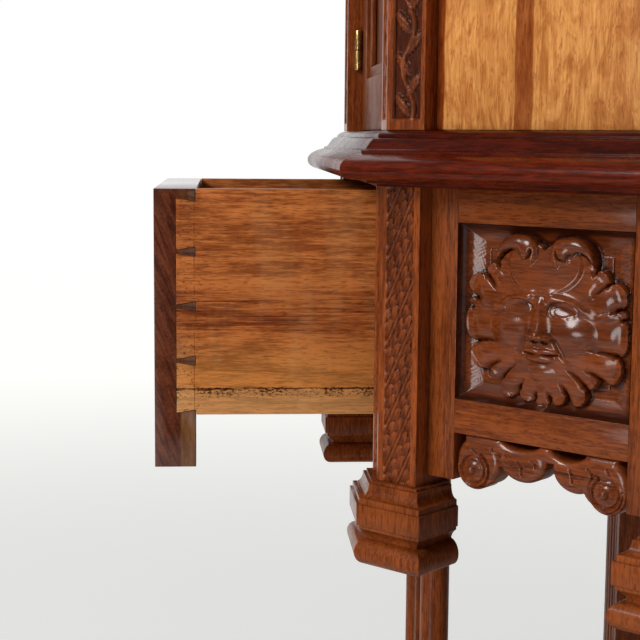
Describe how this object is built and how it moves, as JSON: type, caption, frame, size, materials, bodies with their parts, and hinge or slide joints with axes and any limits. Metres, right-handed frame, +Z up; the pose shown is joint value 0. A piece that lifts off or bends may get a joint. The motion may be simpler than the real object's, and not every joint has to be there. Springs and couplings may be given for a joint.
{
  "type": "gothic revival cupboard",
  "caption": "Carved walnut cupboard with canted sides, foliate masks, hanging corner pendants, a dovetailed front drawer and a traceried door, raised on legs and colonnettes.",
  "frame": {"origin": "on the underside of the plinth, midway between the ends, in the plane of the front posts' faces", "axes": "+X to the right seen from the front, +Y to the back, +Z up; the front faces -Y"},
  "size_m": [0.867, 0.5825, 1.5578],
  "materials": {
    "walnut": "waxed",
    "dark_walnut": "satin",
    "red_walnut": "waxed",
    "drawer_wood": "satin",
    "pale_walnut": "satin",
    "brass": "aged"
  },
  "bodies": {
    "carcase": {"plinth": "walnut", "back_leg_left": "walnut", "back_leg_right": "walnut", "colonnette_left": "walnut", "colonnette_right": "walnut", "front_post_left": "walnut", "front_post_right": "walnut", "side_post_left": "walnut", "side_post_right": "walnut", "front_pendant_left": "walnut", "front_pendant_right": "walnut", "side_pendant_left": "walnut", "side_pendant_right": "walnut", "canted_frame_left": "walnut", "canted_frame_right": "walnut", "mask_panel_left": "walnut", "mask_panel_right": "walnut", "canted_apron_left": "walnut", "canted_apron_right": "walnut", "end_frame_left": "walnut", "end_frame_right": "walnut", "end_panel_left": "walnut", "end_panel_right": "walnut", "drawer_guide_left": "walnut", "drawer_guide_right": "walnut", "upper_front_post_left": "walnut", "upper_front_post_right": "walnut", "upper_side_post_left": "walnut", "upper_side_post_right": "walnut", "upper_back_post_left": "walnut", "upper_back_post_right": "walnut", "upper_end_panel_left": "walnut", "upper_end_panel_right": "walnut", "canted_arch_left": "walnut", "canted_arch_right": "walnut", "frieze_back": "dark_walnut", "frieze_floor": "dark_walnut", "waist_board": "red_walnut", "cornice": "red_walnut", "upper_back": "pale_walnut", "shelf": "pale_walnut", "shelf_batten_left": "pale_walnut", "shelf_batten_right": "pale_walnut", "upper_canted_panel_left": "pale_walnut", "upper_canted_panel_right": "pale_walnut", "hinge_pintle_lower": "brass", "hinge_pintle_upper": "brass"},
    "drawer": {"drawer_front": "dark_walnut", "drawer_mask": "walnut", "drawer_apron": "walnut", "drawer_side_left": "drawer_wood", "drawer_side_right": "drawer_wood", "drawer_back": "drawer_wood", "drawer_bottom": "drawer_wood"},
    "door": {"door_frame": "walnut", "door_panel": "walnut", "door_tracery": "walnut", "door_knob": "brass", "hinge_knuckle_lower": "brass", "hinge_knuckle_upper": "brass"}
  },
  "joints": [
    {"name": "drawer_slide", "type": "slide", "parent": "carcase", "child": "drawer", "axis": [0, -1, 0], "range_m": [-0.1925, 0.06]},
    {"name": "door_hinge", "type": "hinge", "parent": "carcase", "child": "door", "pos_m": [-0.159, 0.0139, 1.2228], "axis": [0, 0, -1], "range_deg": [0, 110]}
  ]
}
